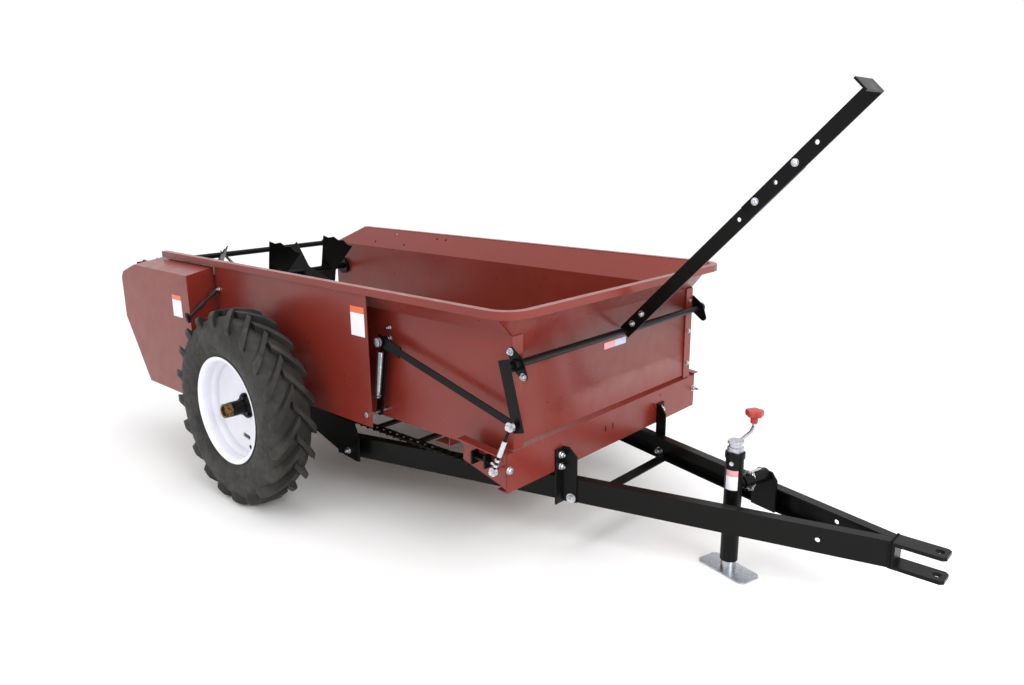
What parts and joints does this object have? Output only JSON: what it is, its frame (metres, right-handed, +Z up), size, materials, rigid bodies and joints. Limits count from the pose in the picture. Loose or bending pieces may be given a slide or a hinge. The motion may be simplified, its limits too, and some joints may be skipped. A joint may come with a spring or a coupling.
{
  "type": "two-wheel manure spreader",
  "caption": "Compact ground-drive manure spreader: a flared steel box with a chain apron and a rear beater, an A-frame tongue with a jack, a control lever and two lug-tyred wheels.",
  "frame": {"origin": "on the ground, at the middle of the machine's overall length and width", "axes": "+X forwards to the hitch, +Y to the machine's left, +Z up"},
  "size_m": [3.8437, 1.85, 1.6048],
  "materials": {
    "red_paint": "gloss",
    "black_paint": "satin",
    "white_paint": "satin",
    "tyre_rubber": "matte",
    "latch_rubber": "matte",
    "zinc_plate": "satin",
    "bare_steel": "satin",
    "red_plastic": "satin",
    "pine_boards": "matte"
  },
  "bodies": {
    "frame": {"apron_drive_shaft": "black_paint", "apron_front_bend": "black_paint", "apron_idler": "black_paint", "apron_lower_run": "black_paint", "apron_rear_bend": "black_paint", "apron_upper_run": "black_paint", "axle": "black_paint", "beam_end_plate_left": "red_paint", "beam_end_plate_right": "red_paint", "beater_bearing_left": "black_paint", "beater_bearing_right": "black_paint", "chain_adjuster_left": "black_paint", "chain_adjuster_right": "black_paint", "cross_tube_bracket_left": "red_paint", "cross_tube_bracket_right": "red_paint", "floor": "pine_boards", "floor_cross_member_front": "red_paint", "floor_cross_member_middle": "red_paint", "floor_cross_member_rear": "red_paint", "front_beam": "red_paint", "front_panel": "red_paint", "hitch_clevis": "black_paint", "jack_bracket": "black_paint", "rail_bracket_left": "black_paint", "rail_bracket_right": "black_paint", "rear_cross_tube": "black_paint", "relay_pivot_bolt": "zinc_plate", "rim_rail": "red_paint", "rockshaft_bearing_left": "black_paint", "rockshaft_bearing_right": "black_paint", "side_frame_left": "black_paint", "side_frame_right": "black_paint", "side_panel_left": "red_paint", "side_panel_right": "red_paint", "side_shield_left": "red_paint", "side_shield_right": "red_paint", "tongue_brace": "black_paint", "tongue_rail_left": "black_paint", "tongue_rail_right": "black_paint"},
    "wheel_right": {"tyre_right": "tyre_rubber", "rim_right": "white_paint"},
    "wheel_left": {"tyre_left": "tyre_rubber", "rim_left": "white_paint"},
    "main_beater_rotor": {"main_beater": "black_paint"},
    "guard_right": {"drive_guard_right": "red_paint", "guard_latch_right": "latch_rubber"},
    "guard_left": {"drive_guard_left": "red_paint", "guard_latch_left": "latch_rubber"},
    "lever_and_rockshaft": {"rockshaft": "black_paint", "control_lever": "black_paint"},
    "clutch_link_body": {"clutch_link": "black_paint"},
    "relay": {"relay_arm": "black_paint", "relay_spring": "zinc_plate"},
    "holding_link": {"holding_spring": "zinc_plate"},
    "jack": {"jack_tube": "black_paint", "jack_head": "zinc_plate", "jack_crank": "zinc_plate", "crank_knob": "red_plastic"},
    "jack_foot": {"jack_leg": "zinc_plate"}
  },
  "joints": [
    {"name": "wheel_right", "type": "hinge", "parent": "frame", "child": "wheel_right", "pos_m": [-0.508, -0.83, 0.403], "axis": [0, 1, 0], "continuous": true},
    {"name": "wheel_left", "type": "hinge", "parent": "frame", "child": "wheel_left", "pos_m": [-0.508, 0.83, 0.403], "axis": [0, 1, 0], "continuous": true},
    {"name": "main_beater", "type": "hinge", "parent": "frame", "child": "main_beater_rotor", "pos_m": [-1.678, 0, 0.705], "axis": [0, 1, 0], "continuous": true},
    {"name": "drive_guard_right", "type": "hinge", "parent": "frame", "child": "guard_right", "pos_m": [-1.63, -0.6603, 0.61], "axis": [0, 0, -1], "range_deg": [0, 100]},
    {"name": "drive_guard_left", "type": "hinge", "parent": "frame", "child": "guard_left", "pos_m": [-1.63, 0.6603, 0.61], "axis": [0, 0, 1], "range_deg": [0, 100]},
    {"name": "control_lever", "type": "hinge", "parent": "frame", "child": "lever_and_rockshaft", "pos_m": [0.762, 0, 0.757], "axis": [0, 1, 0], "range_deg": [0, 20]},
    {"name": "clutch_link", "type": "hinge", "parent": "lever_and_rockshaft", "child": "clutch_link_body", "pos_m": [0.814, -0.6185, 0.565], "axis": [0, 1, 0], "range_deg": [-19, 0]},
    {"name": "relay_arm", "type": "hinge", "parent": "frame", "child": "relay", "pos_m": [0.092, -0.602, 0.458], "axis": [0, 1, 0], "range_deg": [-13.2, 0]},
    {"name": "holding_spring", "type": "hinge", "parent": "frame", "child": "holding_link", "pos_m": [0.73, -0.654, 0.408], "axis": [0, 1, 0], "range_deg": [-19, 0]},
    {"name": "jack_swivel", "type": "hinge", "parent": "frame", "child": "jack", "pos_m": [1.265, -0.045, 0.313], "axis": [0.2569, 0.9664, 0], "range_deg": [0, 90]},
    {"name": "jack_screw", "type": "slide", "parent": "jack", "child": "jack_foot", "axis": [0, 0, -1], "range_m": [0, 0.2]}
  ],
  "couplings": [
    {"joint": "clutch_link", "follows": "control_lever", "ratio": -0.9346},
    {"joint": "relay_arm", "follows": "control_lever", "ratio": -0.6455},
    {"joint": "holding_spring", "follows": "control_lever", "ratio": -0.9357}
  ]
}
